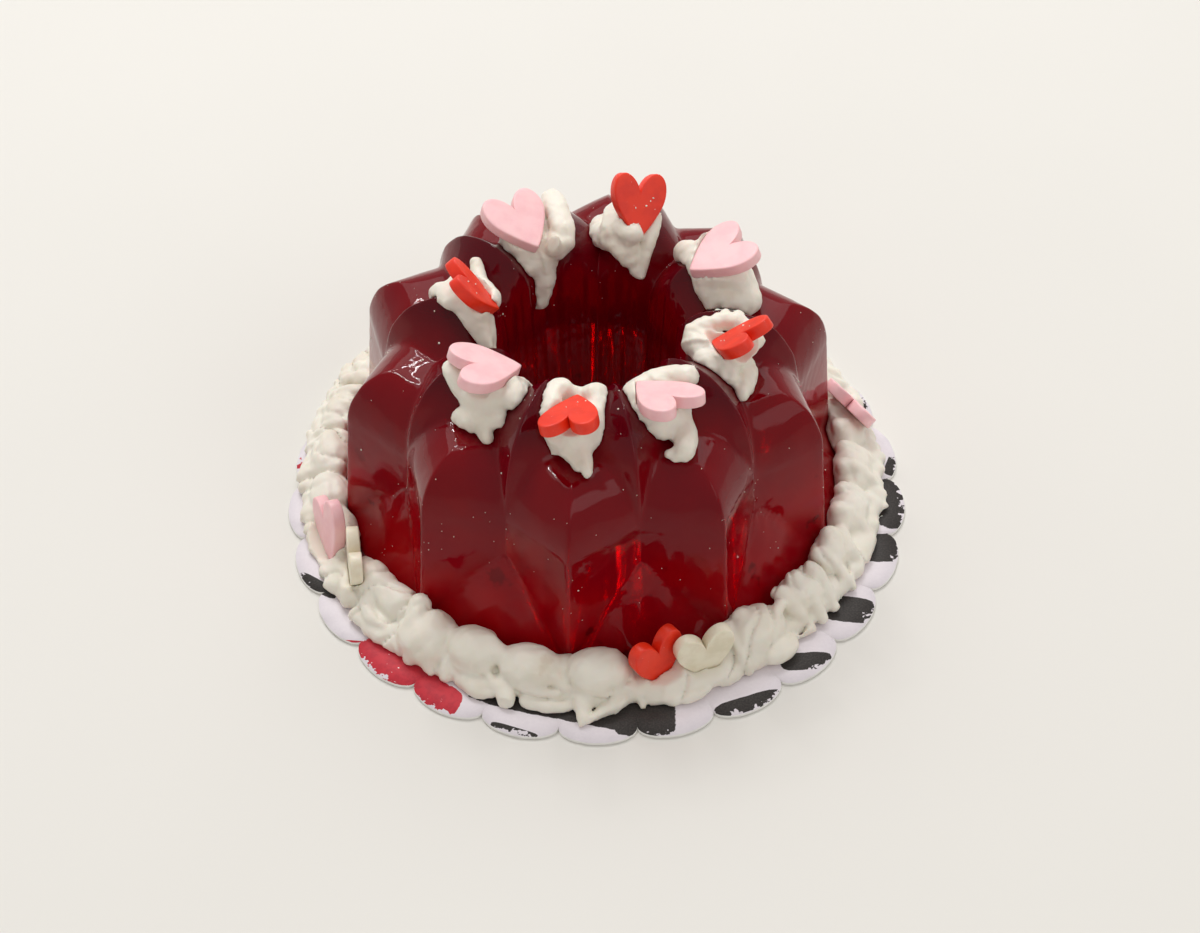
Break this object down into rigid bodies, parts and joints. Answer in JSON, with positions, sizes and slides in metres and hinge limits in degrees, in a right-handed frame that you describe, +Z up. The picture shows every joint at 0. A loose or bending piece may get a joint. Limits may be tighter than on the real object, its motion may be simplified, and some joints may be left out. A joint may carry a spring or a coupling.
{
  "type": "miniature moulded jelly",
  "caption": "Miniature moulded ruby jelly ring with piped cream and heart slices on a scalloped card disc; a resin copy of a dessert for a display or a doll's house.",
  "frame": {"origin": "centre of the card disc, on its underside", "axes": "+Z up, -Y towards the front, where two hearts stand side by side in the piped border"},
  "size_m": [0.0506, 0.0506, 0.0246],
  "materials": {
    "card": "matt white card printed with loose black bands and red patches",
    "ruby_resin": "glossy clear ruby casting resin",
    "cream": "satin off-white modelling cream",
    "red_slice": "satin orange-red polymer clay",
    "pink_slice": "satin pink polymer clay",
    "ivory_slice": "satin ivory polymer clay"
  },
  "bodies": {
    "root": {"card": "card", "jelly": "ruby_resin", "cream_ring": "cream", "dollop_1": "cream", "dollop_2": "cream", "dollop_3": "cream", "dollop_4": "cream", "dollop_5": "cream", "dollop_6": "cream", "dollop_7": "cream", "dollop_8": "cream", "heart_1": "red_slice", "heart_2": "pink_slice", "heart_3": "red_slice", "heart_4": "pink_slice", "heart_5": "red_slice", "heart_6": "pink_slice", "heart_7": "red_slice", "heart_8": "pink_slice", "border_heart_1": "red_slice", "border_heart_2": "ivory_slice", "border_heart_3": "pink_slice", "border_heart_4": "ivory_slice", "border_heart_5": "pink_slice"}
  },
  "joints": []
}
